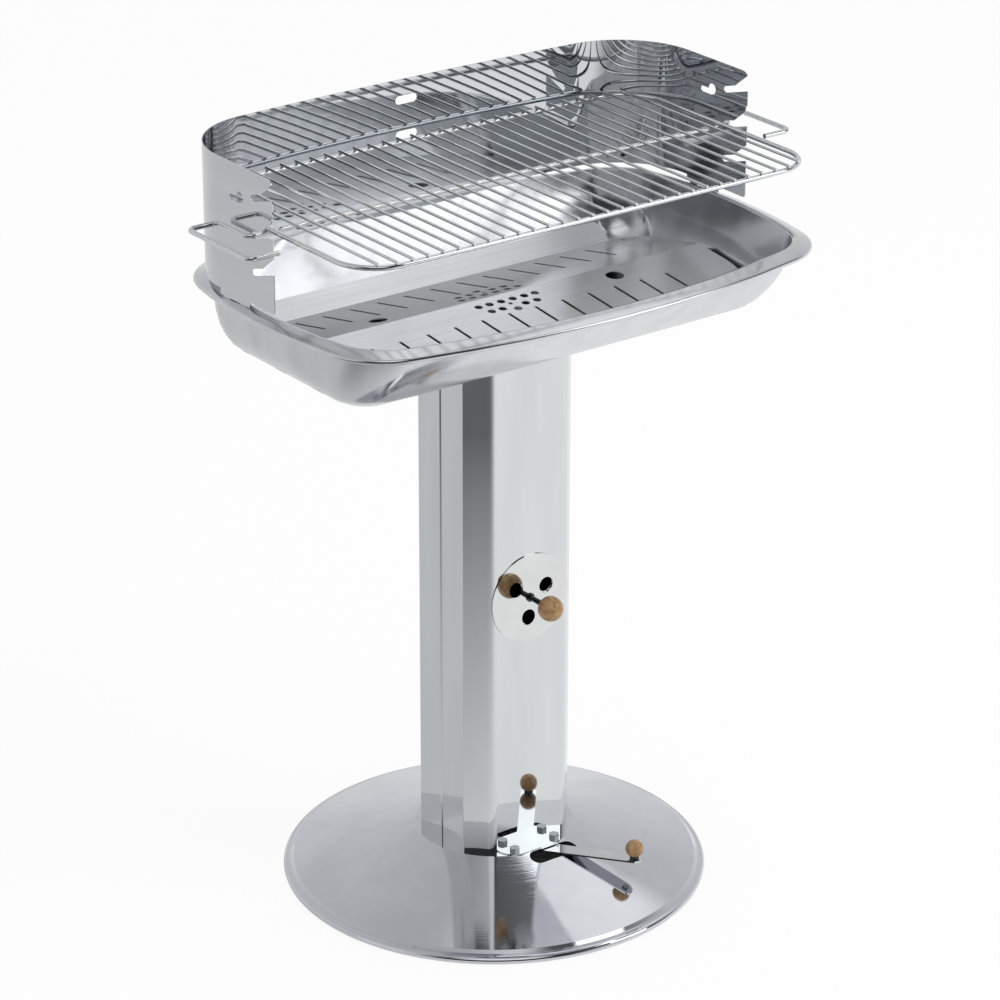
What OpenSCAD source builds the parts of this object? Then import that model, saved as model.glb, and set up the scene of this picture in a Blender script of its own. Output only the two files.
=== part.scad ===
// Charcoal grill on a column: cone base, octagonal column with air damper,
// drawn fire tray, three-sided windscreen with notches, and a wire grid with two handles.
// Origin: on the floor, below the centre of the column. +X runs along the tray, -Y is the front.

/* [Base] */
// Radius of the base over its rolled rim
base_r = 235; // [200:1:280]
// Height of the flat top of the base above the floor
base_h = 52; // [45:1:75]
// Radius of the flat top of the base
base_flat_r = 88; // [84:1:95]
// Thickness of the base sheet
base_t = 1; // [0.8:0.1:1.5]
// Radius of the rolled rim's section
base_roll_r = 4.5; // [3:0.5:6]
// Radius of the air opening in the middle of the base
base_hole_r = 42; // [30:1:44]
// Distance from the column's axis to the middle of the lever slot
slot_y = 96.25; // [94:0.25:100]
// Width of the lever slot
slot_w = 19.5; // [19:0.5:24]
// Left end of the lever slot
slot_left = 20; // [18:1:30]
// Right end of the lever slot
slot_right = 41; // [38:1:50]

/* [Column] */
// Half the width of the column over its side faces
col_hx = 71.2; // [65:0.1:80]
// Half the depth of the column over its front and rear faces
col_hy = 63.7; // [60:0.1:72]
// Half the width of the front face
col_face_hx = 49; // [42:0.5:54]
// Half the depth of the side face
col_face_hy = 40.2; // [34:0.1:46]
// Height of the column's top edge above the floor
col_top = 637.2; // [500:0.1:750]
// Thickness of the column sheet
col_t = 1.2; // [1:0.1:2]
// Outer radius of the folds beside the side faces
col_fold_r = 2.6; // [2.2:0.1:5]
// Outer radius of the wide folds beside the front and rear faces
col_face_fold_r = 16; // [4:0.5:18]
// Width of the seam flanges that are spot-welded inside the column
col_seam_w = 12; // [8:1:18]
// Length of the foot tab in front of the column
foot_tab_l = 22.3; // [20:0.1:26]
// Length of the head tab inside the column
head_tab_l = 25; // [20:1:27]

/* [Bolts] */
// Shank radius of the bolts
bolt_r = 3; // [2:0.5:4]
// Width of the bolt heads across flats
bolt_head_af = 10; // [8:1:13]
// Height of the bolt heads
bolt_head_h = 4; // [3:0.5:6]
// Height of the nuts
nut_h = 5; // [4:0.5:6]
// Half the distance between the two bolts of a tab
bolt_dx = 27; // [20:1:32]
// Distance of the foot bolts from the column's face
foot_bolt_out = 11.3; // [9:0.1:14]
// Distance of the head bolts from the column's face
head_bolt_in = 12; // [9:0.5:14]

/* [Air flap and lever] */
// Radius of the air flap disc
flap_r = 47; // [36:1:48]
// Thickness of the air flap disc
flap_t = 1; // [0.8:0.1:1.5]
// Sideways place of the lever's pivot
pivot_x = -6.2; // [-10:0.1:-4]
// Distance of the lever's pivot in front of the column's axis
pivot_y = 63.4; // [60:0.1:66]
// Angle of the closed lever, measured from straight ahead
lever_a = 39; // [34:1:42]
// Distance from the pivot to the centre of the wooden ball
lever_l = 125; // [100:1:150]
// Distance from the pivot to the lever's inner end
lever_in = 56; // [50:1:60]
// Width of the lever strip
lever_w = 18; // [14:0.5:18.5]
// Thickness of the lever strip
lever_t = 2; // [1.5:0.1:2.5]
// Radius of the lever's wooden ball
lever_ball_r = 10; // [8:0.5:14]
// Height of the collar under the lever's wooden ball
lever_collar_h = 3; // [2:0.5:5]

/* [Damper] */
// Height of the damper's centre above the floor
damper_z = 347.8; // [200:0.1:500]
// Radius of the damper disc
damper_r = 50; // [44:0.5:52]
// Thickness of the damper disc
damper_t = 1; // [0.8:0.1:1.5]
// Radius of the three air holes in the damper disc
damper_hole_r = 9; // [6:0.5:10]
// Distance of the air holes from the damper's centre
damper_hole_out = 23; // [21:0.5:30]
// Angle of the damper's first air hole
damper_a = 23.7; // [0:0.1:60]
// Angle by which the column's holes are turned from those of the disc
damper_turn = 4; // [0:0.5:8]
// Radius of the damper's spindle
spindle_r = 3; // [2:0.5:4]
// Distance from the damper disc to the centre of the wooden knob
knob_out = 36.3; // [28:0.1:45]
// Radius of the damper's wooden knob
knob_r = 13.8; // [10:0.1:18]

/* [Tray] */
// Half the width of the tray over its rolled rim
rim_hx = 315.3; // [310:0.1:330]
// Half the depth of the tray over its rolled rim
rim_hy = 209.8; // [200:0.1:220]
// Distance by which the rim's centre lies in front of the column's axis
rim_front = 20; // [10:0.5:25]
// Height of the rim's crest above the column's top edge
rim_rise = 89.3; // [80:0.1:100]
// Corner radius of the rim
rim_corner_r = 76.5; // [70:0.5:90]
// Bow of the rim's short sides
rim_bow_side = 10.9; // [0:0.1:14]
// Bow of the rim's long sides
rim_bow_long = 27; // [0:0.5:30]
// Width of the sloping collar of the rim
collar_w = 18.7; // [16:0.1:22]
// Slope of the rim's collar
collar_slope = 20; // [15:1:24]
// Radius of the rolled lip
lip_r = 3.2; // [2.5:0.1:4]
// Width of the lip's inward return
lip_return = 4; // [2:0.5:6]
// Thickness of the tray sheet
tray_t = 1; // [0.8:0.1:1.5]
// Radius between the tray's floor and its walls
bowl_r = 58; // [50:1:62]
// Angle at which the side walls leave the floor radius
wall_side_a = 80; // [74:1:84]
// Angle at which the front wall leaves the floor radius
wall_front_a = 44; // [40:1:50]
// Angle at which the rear wall leaves the floor radius
wall_rear_a = 55; // [50:1:60]
// Radius of the opening in the tray's floor
tray_hole_r = 36; // [25:1:38]
// Length of the air slots in the side walls
air_slot_l = 20; // [12:1:30]
// Height of the air slots in the side walls
air_slot_h = 3; // [2:0.5:4]
// Distance between the air slots
air_slot_pitch = 68; // [50:1:70]
// Height of the air slots above the tray's floor
air_slot_z = 12.8; // [10:0.1:16]

/* [Charcoal plate] */
// Half the width of the charcoal plate
plate_hx = 271; // [255:1:272]
// Thickness of the charcoal plate
plate_t = 1; // [0.8:0.1:1.5]
// Height of the plate's ridge above the tray's floor
ridge_z = 38.8; // [37:0.1:39]
// Distance of the ridge in front of the column's axis
ridge_front = 6; // [4:0.5:8]
// Slope of the plate's rear panel, as a rise over a run
rear_slope_share = 0.2; // [0.18:0.01:0.22]
// Slope of the plate's front panel, as a rise over a run
front_slope_share = 0.1; // [0.08:0.01:0.12]
// Distance from the ridge to the rear fold
rear_fold_l = 117; // [112:0.5:118]
// Length of the rear upstand
rear_up_l = 25; // [18:0.5:26]
// Lean of the rear upstand from upright
rear_up_a = 40; // [34:1:42]
// Length of the front upstand
front_up_l = 20; // [15:0.5:22]
// Lean of the front upstand from upright
front_up_a = 38; // [34:1:40]
// Half the width of the rear upstand at its fold
upstand_hx = 238; // [220:1:240]
// Half the width of the front upstand at its fold
front_upstand_hx = 190; // [180:1:200]
// Corner radius of the plate at its rear
plate_corner_r = 40; // [36:1:45]
// Corner radius of the plate at its front
plate_front_corner_r = 92; // [88:1:96]
// Distance between the plate's long slots
slit_pitch = 34.7; // [30:0.1:38]
// Width of the plate's slots
slit_w = 3.6; // [2.5:0.1:4]
// Distance from the ridge to the near end of the slots
slit_near = 42; // [40:1:50]
// Distance from the ridge to the far end of the slots
slit_far = 99; // [80:1:102]
// Radius of the small air holes in the middle of the plate
vent_r = 4.5; // [3:0.1:5.5]
// Distance between neighbouring small air holes
vent_pitch = 14.8; // [13:0.1:17]
// Radius of the two large holes
grip_r = 10; // [7:0.5:11]
// Distance of the large holes from the middle
grip_x = 139; // [130:1:150]
// Distance of the large holes from the ridge
grip_out = 21; // [16:1:24]

/* [Windscreen] */
// Distance of the windscreen's wings inside the edge of the tray's rim
screen_inset = 11.1; // [10:0.1:12]
// Distance from the column's axis to the front edge of the wings
screen_front = 43.5; // [38:0.5:48]
// Distance from the column's axis to the back wall at its ends
screen_back = 150.5; // [148:0.5:156]
// Bow of the back wall
screen_bow = 5.4; // [0:0.1:8]
// Corner radius of the windscreen
screen_corner_r = 92.5; // [85:0.5:94]
// Height of the windscreen's top edge above the rim's crest
screen_rise = 146.5; // [140:0.5:160]
// Gap between the rim's crest and the windscreen's lower edge
screen_gap = 5.5; // [4:0.5:8]
// Thickness of the windscreen
screen_t = 1; // [0.8:0.1:1.5]
// Length of each foot that stands on the rim
screen_foot_l = 54; // [40:1:56]
// Depth of the tongues below the rim's collar
tongue_h = 8; // [5:0.5:10]
// Length of each tongue
tongue_l = 12; // [8:1:14]
// Height of the lowest notch above the rim's crest
notch_z = 37; // [35:0.5:39]
// Distance between the notches
notch_pitch = 39; // [38:0.5:40]
// Half the width of a notch
notch_r = 3.55; // [3.3:0.05:4]
// Rise of the notches towards the front
notch_a = 16.3; // [12:0.1:20]
// Distance from the column's axis to the inner end of the notches
notch_in = 4; // [2:0.5:6]
// Height of the keyholes above the rim's crest
keyhole_z = 113; // [110:0.5:116]
// Radius of the keyholes
keyhole_r = 6; // [4:0.5:7]
// Length of the slots in the back wall
back_slot_l = 28; // [20:1:34]
// Height of the slots in the back wall
back_slot_h = 9.5; // [7:0.5:12]

/* [Grid] */
// Radius of the cross bar's wire
bar_r = 2.75; // [2.5:0.05:3]
// Radius of the frame's wire
frame_r = 2.8; // [2.5:0.1:3]
// Radius of the rods
rod_r = 1.6; // [1.3:0.1:2]
// Half the width of the grid's frame
frame_hx = 288.5; // [280:0.5:294]
// Distance from the column's axis to the frame's front wire
frame_front = 177.5; // [150:0.5:190]
// Distance from the column's axis to the frame's back wire
frame_back = 135; // [120:0.5:136]
// Radius of the frame's front corners
frame_front_r = 48; // [30:1:60]
// Radius of the frame's rear corners
frame_back_r = 52; // [51:1:90]
// Distance between the rods
rod_pitch = 18.4; // [15:0.1:22]
// Number of rods
rod_count = 30; // [20:1:31]
// Reach of the handles beyond their inner leg
handle_w = 35.5; // [30:0.1:45]
// Distance from the column's axis to the handle's free end
handle_front = 64; // [56:1:70]
// Distance from the column's axis to the handle's rear side
handle_back = 47; // [40:1:56]
// Distance from the windscreen's wing to the inner leg of the handle
handle_gap = 7; // [6.6:0.1:10]
// Radius of the bends in the handle's wire
handle_bend_r = 8.5; // [8.4:0.1:9]

/* [Hidden] */
// running gap between faces that move past each other, and gap of a loose seat
gap = 0.3;
// radial clearance of a running bore, and of a bolt in its hole
fit = 0.08;
bolt_fit = 0.25;
// overrun of every cut
over = 2;
steel = "gainsboro";
dull = "darkgray";
wood = "burlywood";
$fn = 64;

// column: half the width of the tabs, which fold from the flat of the face
fold_run = (col_hx - col_face_hx) / (col_hy - col_face_hy);
fold_a = 90 - atan(fold_run);
tab_hx = col_face_hx - col_face_fold_r * tan(fold_a / 2);

// base: height of the cone's lower edge and the ledge above the rolled rim
cone_end_r = base_r - 11.5;
cone_end_z = 12.5;
ledge_r = base_r - base_roll_r - 3.5;
ledge_z = 9.6;
base_under = base_h - base_t;
rim_flat = 0.6;
curl_start_a = 100;
curl_turn_a = 290;

// lever stack below the base's flat top, from the top down
pivot_washer_t = 1;
pivot_washer_r = 8;
lever_top = base_under - pivot_washer_t - gap;
lever_under = lever_top - lever_t;
pivot_nut_h = 5;
stud_end = lever_under - gap - pivot_nut_h - gap;
rivet_r = 2;
rivet_head_r = 3.5;
rivet_head_h = 1.2;
rivet_near = 38;
rivet_far = 50;
collar_r = 5;
ball_screw_r = 2;
ball_screw_head_r = 3.5;
ball_screw_head_h = 2.2;
ball_screw_in = 7;

// damper stack through the column's front face
damper_face = col_hy + gap + damper_t;
spindle_in = 12;
spindle_collar_r = 5;
spindle_collar_l = 1.2;
knob_bore_l = 10;
washer_t = 1;
washer_r = 7;
spring_t = 0.6;
spring_r = 6.2;
spring_h = 1.6;
damper_nut_h = 4;
damper_nut_af = 9;

// tray: heights and outlines
floor_z = col_top;
crest_z = floor_z + rim_rise;
crest_r = 4;
collar_start_a = 150;
collar_z0 = crest_z - crest_r;
wall_top_z = collar_z0 + crest_r * sin(collar_start_a);
rim_c = rim_front;
bowl_hx = rim_hx - collar_w;
bowl_hy = rim_hy - collar_w;
corner_share = 0.85;
bowl_corner_r = rim_corner_r - corner_share * collar_w;
floor_corner_r = 14;
floor_bow = 2;
arc_z = floor_z + bowl_r;
side_c = wall_centre(bowl_hx, wall_side_a);
front_c = wall_centre(bowl_hy + rim_c, wall_front_a);
rear_c = wall_centre(bowl_hy - rim_c, wall_rear_a);
front_end_z = arc_z - bowl_r * cos(wall_front_a);
tray_floor = floor_z + tray_t;
level_shares = [0, 0.012, 0.05, 0.12, 0.2, 0.29, 0.42, 0.58, 0.78, 0.985];
inner_level_shares = [0, 0.02, 0.07, 0.14, 0.22, 0.31, 0.44, 0.6, 0.8, 1];
air_slot_x = 262;
air_slot_y = 3;

// charcoal plate
ridge_h = tray_floor + ridge_z - tray_t;
plate_rest_x = 225;
front_fold_y = settled(front_wall_at(plate_rest_x, ridge_h), 4) - gap;
front_fold_top = front_panel_z(front_fold_y);
rear_fold_y = rear_fold_l - ridge_front;
rear_fold_top = ridge_h - rear_slope_share * rear_fold_l;
upstand_corner_r = 14;
vent_row_shares = [-2.45, -1.5, -0.48, 0.54, 1.55, 2.5];
vent_row2_shares = [-2.03, -1.08, -0.07, 0.95, 1.96];
vent_row_y = 15;
vent_row2_y = 30;
vent_mid_y = 37;
vent_small_y = 23.5;
vent_small_r = 2.5;
corner_slit_x = 247;
corner_slit_l = 9;
corner_slit_y = 101;

// windscreen
screen_hx = rim_hx - screen_inset;
screen_top = crest_z + screen_rise;
screen_bottom = crest_z + screen_gap;
collar_slope_start = crest_r * (cos(collar_start_a - 180) + sin(collar_slope));
screen_seat_d = screen_hx - bowl_hx;
screen_seat_z = collar_top_at(screen_seat_d - screen_t);
screen_top_r = 9;
foot_step = 2;
foot_corner_r = 4;
tongue_in = 6;
keyhole_y = 16;
keyhole_slot_h = 6.5;
keyhole_slot_l = 19;
keyhole_drop = 3.5;
throat_l = 16.6;
flare_a = 38;
relief_r = 5;
relief_depth = 2.5;
relief_z = 105;
back_slot_x = -3;
back_slot_z = 123.5;
back_slot_z2 = 84.5;

// grid: the bar lies in the middle notches, the frame on the bar, the rods on the frame
notch_c_y = notch_in + notch_r;
notch_c_z = crest_z + notch_z + notch_r;
bar_y = notch_c_y - (notch_r - bar_r - gap) * sin(notch_a);
bar_z = notch_c_z + notch_pitch - (notch_r - bar_r - gap) * cos(notch_a);
frame_z = bar_z + bar_r + frame_r;
rod_z = frame_z + frame_r + rod_r;
rod_over = 2.5;
handle_in = screen_hx + handle_gap;
handle_hx = handle_in + handle_w;

// arc of the base's rolled rim, flattened where it stands on the floor
function roll_arc(r) =
    [for (i = [0 : 16]) let (w = curl_start_a - i * curl_turn_a / 16)
        [base_r - base_roll_r + r * cos(w), max(0, base_roll_r - rim_flat + r * sin(w))]];

// centre of the floor radius of a wall that reaches the given crest at the given angle
function wall_centre(reach, a) =
    let (run = (wall_top_z - arc_z + bowl_r * cos(a)) / tan(a))
    reach - bowl_r * sin(a) - run;

// reach of a wall at height z, measured on the sheet's outer face or an offset inside it
function wall_reach(c, a, z, off) =
    let (r = bowl_r - off, h = arc_z - z)
    h > r * cos(a) ? c + sqrt(max(r * r - h * h, 0)) : c + r * sin(a) + (r * cos(a) - h) / tan(a);

// progress of the front wall above its floor radius, 0 to 1
function climb(z) = max(0, (z - front_end_z) / (wall_top_z - front_end_z));

function long_bow(z) = floor_bow + (rim_bow_long - floor_bow) * climb(z) * climb(z);
function side_bow(z) = rim_bow_side * climb(z);
function corner_at(z) =
    let (u = (wall_reach(side_c, wall_side_a, z, 0) - side_c) / (bowl_hx - side_c))
    floor_corner_r + (bowl_corner_r - floor_corner_r) * u;

// distance of the front wall's inner face from the column's axis at a given x and height
function front_wall_at(x, z) =
    let (t = x / (wall_reach(side_c, wall_side_a, z, tray_t) - corner_at(z) - side_bow(z)))
    wall_reach(front_c, wall_front_a, z, tray_t) - long_bow(z) * min(1, t * t);

// height of the front panel, and the depth at which its underside meets the front wall
function front_panel_z(y) = ridge_h - front_slope_share * (y - ridge_front);
function settled(y, n) = n == 0 ? y
    : settled(front_wall_at(plate_rest_x, front_panel_z(y) - plate_t), n - 1);

// height of the collar's upper face at a distance from the crest's inner edge
function collar_top_at(d) =
    collar_z0 + crest_r * cos(collar_slope) - (d - collar_slope_start) * tan(collar_slope);

// quarter of a bowed outline, from the middle of the side to the middle of the long side
function quarter(a, b, bow_a, bow_b, r) =
    let (ra = a - r, rb = b - r,
        side = [for (t = [0, 0.4, 0.75, 1]) let (n = unit([rb - bow_b, 2 * bow_a * t]))
            [ra - bow_a * t * t, (rb - bow_b) * t] + r * n],
        a0 = atan2(2 * bow_a, rb - bow_b),
        a1 = atan2(ra - bow_a, 2 * bow_b),
        c = [ra - bow_a, rb - bow_b],
        corner = [for (i = [1 : 7]) let (w = a0 + (a1 - a0) * i / 8) c + r * [cos(w), sin(w)]],
        long = [for (t = [1, 0.75, 0.5, 0.25, 0]) let (n = unit([2 * bow_b * t, ra - bow_a]))
            [(ra - bow_a) * t, rb - bow_b * t * t] + r * n])
    concat(side, corner, long);

function unit(v) = v / norm(v);
function reversed(p) = [for (i = [len(p) - 1 : -1 : 0]) p[i]];
function inside(p) = [for (i = [1 : len(p) - 2]) p[i]];

// closed ring of points at one height: half width, front and rear depth, bows, corner radius
function ring(a, front, rear, bow_a, bow_b, r, z) =
    let (c = (rear - front) / 2, b = (rear + front) / 2, q = quarter(a, b, bow_a, bow_b, r),
        right = concat([for (p = reversed(q)) [p[0], -p[1]]], [for (i = [1 : len(q) - 1]) q[i]]),
        left = [for (p = inside(reversed(right))) [-p[0], p[1]]])
    [for (p = concat(right, left)) [p[0], p[1] + c, z]];

function wall_ring(z, off) = ring(wall_reach(side_c, wall_side_a, z, off),
    wall_reach(front_c, wall_front_a, z, off), wall_reach(rear_c, wall_rear_a, z, off),
    side_bow(z), long_bow(z), corner_at(z) - off, z);

function collar_ring(d, z) = ring(bowl_hx + d, bowl_hy + rim_c + d, bowl_hy - rim_c + d,
    rim_bow_side, rim_bow_long, bowl_corner_r + corner_share * d, z);

// section of the collar, from its inner edge to the end of the lip's return
function collar_path(off) =
    let (c1 = [-crest_r * cos(collar_start_a), collar_z0], r1 = crest_r - off, r2 = lip_r - off,
        a1 = 90 - collar_slope, c2x = collar_w - lip_r,
        end_z = collar_top_at(c2x + lip_r * cos(a1)),
        c2 = [c2x, end_z - lip_r * sin(a1)])
    concat([for (i = [0 : 3]) let (w = collar_start_a + (a1 - collar_start_a) * i / 3)
            c1 + r1 * [cos(w), sin(w)]],
        [for (i = [0 : 6]) let (w = a1 - (a1 + 90) * i / 6) c2 + r2 * [cos(w), sin(w)]],
        [c2 - [lip_return, r2]]);

// skin over rings with the same number of points
function skin_faces(rows, n) = concat(
    [[for (i = [0 : n - 1]) i]],
    [for (k = [0 : rows - 2], i = [0 : n - 1]) let (j = (i + 1) % n)
        [k * n + i, (k + 1) * n + i, (k + 1) * n + j]],
    [for (k = [0 : rows - 2], i = [0 : n - 1]) let (j = (i + 1) % n)
        [k * n + i, (k + 1) * n + j, k * n + j]],
    [[for (i = [n - 1 : -1 : 0]) (rows - 1) * n + i]]);

module skin(rings) {
    polyhedron(points = [for (r = rings) each r], faces = skin_faces(len(rings), len(rings[0])),
        convexity = 8);
}

// bend of a path at a point: list of arc points with the given radius
function bend(p0, p1, p2, r, n) =
    let (u = unit(p0 - p1), v = unit(p2 - p1), half = acos(max(-1, min(1, u * v))) / 2,
        l = r / tan(half), c = p1 + unit(u + v) * r / sin(half),
        s = p1 + u * l - c, e = p1 + v * l - c,
        turn = atan2(s[0] * e[1] - s[1] * e[0], s * e), w0 = atan2(s[1], s[0]))
    [for (i = [0 : n]) c + r * [cos(w0 + turn * i / n), sin(w0 + turn * i / n)]];

// path with its inner corners folded to the given radii, less an offset
function folded(path, radii, off, n = 8) = concat([path[0]],
    [for (i = [1 : len(path) - 2])
        each bend(path[i - 1], path[i], path[i + 1], radii[i - 1] - off, n)],
    [path[len(path) - 1]]);

// path moved to its left by t, with mitred corners
function left_of(d) = [-d[1], d[0]];
function shifted(path, t) =
    let (m = len(path) - 1, nrm = [for (i = [0 : m - 1]) left_of(unit(path[i + 1] - path[i]))])
    [for (i = [0 : m]) i == 0 ? path[0] + t * nrm[0] : i == m ? path[m] + t * nrm[m - 1]
        : path[i] + t * (nrm[i - 1] + nrm[i]) / (1 + nrm[i - 1] * nrm[i])];

module hex_bar(across, h) {
    cylinder(d = across / cos(30), h = h, $fn = 6);
}

module capsule(l, w, h) {
    linear_extrude(h) {
        square([l - w, w], center = true);
        for (s = [-1, 1]) translate([s * (l - w) / 2, 0]) circle(d = w);
    }
}

module foot_places() {
    for (s = [-1, 1], x = [-bolt_dx, bolt_dx]) translate([x, s * (col_hy + foot_bolt_out), 0]) children();
}

module head_places() {
    for (s = [-1, 1], x = [-bolt_dx, bolt_dx]) translate([x, s * (col_hy - head_bolt_in), 0]) children();
}

// spun cone with a rolled rim that is flattened where it stands
module base_dish() {
    color(steel) difference() {
        rotate_extrude($fn = 128) base_section();
        translate([0, 0, base_under - over]) cylinder(r = base_hole_r, h = base_t + 2 * over);
        foot_places() translate([0, 0, base_under - over])
            cylinder(r = bolt_r + bolt_fit, h = base_t + 2 * over);
        translate([(slot_right - slot_left) / 2, -slot_y, 0])
            capsule(slot_right + slot_left, slot_w, base_h + over);
    }
}

// section of the base: the sheet's upper face, round the rim and back along its under face
module base_section() {
    polygon(concat([[0, base_h], [base_flat_r, base_h], [cone_end_r, cone_end_z], [ledge_r, ledge_z]],
        roll_arc(base_roll_r), reversed(roll_arc(base_roll_r - base_t)),
        [[ledge_r, ledge_z - base_t], [cone_end_r, cone_end_z - base_t], [base_flat_r, base_under],
            [0, base_under]]));
}

// half of the column: an octagon's front with seam flanges, a foot tab and a head tab
module column_shell() {
    path = [[-col_hx + col_seam_w, 0], [-col_hx, 0], [-col_hx, -col_face_hy],
        [-col_face_hx, -col_hy], [col_face_hx, -col_hy], [col_hx, -col_face_hy], [col_hx, 0],
        [col_hx - col_seam_w, 0]];
    radii = [col_fold_r, col_fold_r, col_face_fold_r, col_face_fold_r, col_fold_r, col_fold_r];
    translate([0, 0, base_h]) linear_extrude(col_top - base_h)
        polygon(concat(folded(path, radii, 0), reversed(folded(shifted(path, col_t), radii, col_t))));
    difference() {
        union() {
            translate([0, -col_hy - foot_tab_l / 2, base_h]) foot_tab();
            translate([-tab_hx, -col_hy + col_t / 2, col_top - col_t])
                cube([2 * tab_hx, head_tab_l, col_t]);
        }
        foot_places() cylinder(r = bolt_r + bolt_fit, h = col_top / 2);
        head_places() translate([0, 0, col_top / 2]) cylinder(r = bolt_r + bolt_fit, h = col_top);
        translate([0, 0, col_top / 2]) cylinder(r = tray_hole_r, h = col_top);
    }
}

module foot_tab() {
    linear_extrude(col_t) difference() {
        union() {
            translate([-tab_hx + foot_tab_l, -foot_tab_l / 2])
                square([2 * (tab_hx - foot_tab_l), foot_tab_l + col_t / 2]);
            for (s = [-1, 1]) translate([s * (tab_hx - foot_tab_l), foot_tab_l / 2])
                circle(r = foot_tab_l);
        }
        translate([-tab_hx, foot_tab_l / 2 + col_t / 2]) square([2 * tab_hx, foot_tab_l + over]);
    }
}

module damper_holes(turn) {
    for (i = [0 : 2]) rotate([0, -damper_a - turn - i * 120, 0])
        translate([damper_hole_out, 0, 0]) rotate([90, 0, 0])
            cylinder(r = damper_hole_r, h = 2 * damper_face);
}

module column_front_shell() {
    color(steel) difference() {
        column_shell();
        translate([0, 0, damper_z]) damper_holes(damper_turn);
        translate([0, 0, damper_z]) rotate([90, 0, 0]) cylinder(r = spindle_r + fit, h = 2 * col_hy);
    }
}

module column_rear_shell() {
    color(steel) rotate([0, 0, 180]) column_shell();
}

module bolt(grip) {
    hex_bar(bolt_head_af, bolt_head_h);
    translate([0, 0, -grip]) cylinder(r = bolt_r, h = grip + bolt_head_h / 2);
}

module nut(across, h, r) {
    difference() {
        hex_bar(across, h);
        translate([0, 0, -over]) cylinder(r = r, h = h + 2 * over);
    }
}

module foot_bolts() {
    color(dull) foot_places() translate([0, 0, base_h + col_t])
        bolt(col_t + base_t + nut_h + bolt_r / 2);
}

module foot_nuts() {
    color(dull) foot_places() translate([0, 0, base_under - nut_h]) nut(bolt_head_af, nut_h, bolt_r);
}

module head_bolts() {
    color(dull) head_places() translate([0, 0, tray_floor]) bolt(tray_t + col_t + nut_h + bolt_r / 2);
}

module head_nuts() {
    color(dull) head_places() translate([0, 0, col_top - col_t - nut_h]) nut(bolt_head_af, nut_h, bolt_r);
}

module at_pivot() {
    translate([pivot_x, -pivot_y, 0]) children();
}

// frame of the closed lever: +X runs from the pivot to the wooden ball
module along_lever() {
    at_pivot() rotate([0, 0, lever_a - 90]) children();
}

module flap_pivot_stud() {
    color(dull) at_pivot() translate([0, 0, stud_end]) cylinder(r = bolt_r, h = base_under - stud_end);
}

module flap_pivot_washer() {
    color(dull) at_pivot() translate([0, 0, base_under - pivot_washer_t]) difference() {
        cylinder(r = pivot_washer_r, h = pivot_washer_t);
        translate([0, 0, -over]) cylinder(r = bolt_r, h = pivot_washer_t + 2 * over);
    }
}

module flap_pivot_nut() {
    color(dull) at_pivot() translate([0, 0, lever_under - gap - pivot_nut_h])
        nut(bolt_head_af, pivot_nut_h, bolt_r);
}

module rivet_places() {
    along_lever() for (d = [rivet_near, rivet_far]) translate([-d, 0, 0]) children();
}

module air_flap() {
    color(steel) difference() {
        translate([0, 0, lever_top]) cylinder(r = flap_r, h = flap_t);
        rivet_places() cylinder(r = rivet_r, h = base_h);
    }
}

module flap_rivets() {
    color(dull) rivet_places() {
        translate([0, 0, lever_under]) cylinder(r = rivet_r, h = lever_t + flap_t);
        translate([0, 0, lever_under - rivet_head_h]) cylinder(r = rivet_head_r, h = rivet_head_h);
    }
}

module air_lever() {
    color(steel) difference() {
        along_lever() translate([0, 0, lever_under]) {
            translate([-lever_in, -lever_w / 2, 0]) cube([lever_in + lever_l, lever_w, lever_t]);
            translate([lever_l, 0, 0]) cylinder(r = lever_w / 2, h = lever_t);
        }
        at_pivot() cylinder(r = bolt_r + fit, h = base_h);
        rivet_places() cylinder(r = rivet_r, h = base_h);
        along_lever() translate([lever_l, 0, 0]) cylinder(r = ball_screw_r, h = base_h);
    }
}

module lever_collar() {
    color(dull) along_lever() translate([lever_l, 0, lever_top]) difference() {
        cylinder(r = collar_r, h = lever_collar_h);
        translate([0, 0, -over]) cylinder(r = ball_screw_r, h = lever_collar_h + 2 * over);
    }
}

// ball with a flat face that sits on its collar and a blind bore for its screw
module wooden_ball(r, seat_r, bore_r, bore_l) {
    seat = sqrt(r * r - seat_r * seat_r);
    difference() {
        sphere(r = r);
        translate([-r, -r, -2 * r - seat]) cube(2 * r);
        translate([0, 0, -seat - over]) cylinder(r = bore_r, h = bore_l + over);
    }
}

module lever_ball() {
    seat = sqrt(lever_ball_r * lever_ball_r - collar_r * collar_r);
    color(wood) along_lever() translate([lever_l, 0, lever_top + lever_collar_h + seat])
        wooden_ball(lever_ball_r, collar_r, ball_screw_r, ball_screw_in);
}

module lever_ball_screw() {
    color(dull) along_lever() translate([lever_l, 0, lever_under]) {
        cylinder(r = ball_screw_r, h = lever_t + lever_collar_h + ball_screw_in - gap);
        translate([0, 0, -ball_screw_head_h]) cylinder(r = ball_screw_head_r, h = ball_screw_head_h);
    }
}

// frame of the damper: +Z points out of the column's front face, from the face itself
module at_damper(out) {
    translate([0, -out, damper_z]) rotate([90, 0, 0]) children();
}

module damper_disc() {
    color(steel) difference() {
        at_damper(damper_face - damper_t) cylinder(r = damper_r, h = damper_t, $fn = 96);
        translate([0, 0, damper_z]) damper_holes(0);
        at_damper(0) cylinder(r = spindle_r, h = 2 * damper_face);
    }
}

module damper_spindle() {
    knob_seat = sqrt(knob_r * knob_r - spindle_collar_r * spindle_collar_r);
    spindle_l = damper_face - col_hy + spindle_in + knob_out - knob_seat + knob_bore_l - gap;
    color(dull) at_damper(col_hy - spindle_in) cylinder(r = spindle_r, h = spindle_l);
    color(dull) at_damper(damper_face) cylinder(r = spindle_collar_r, h = spindle_collar_l);
}

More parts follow.
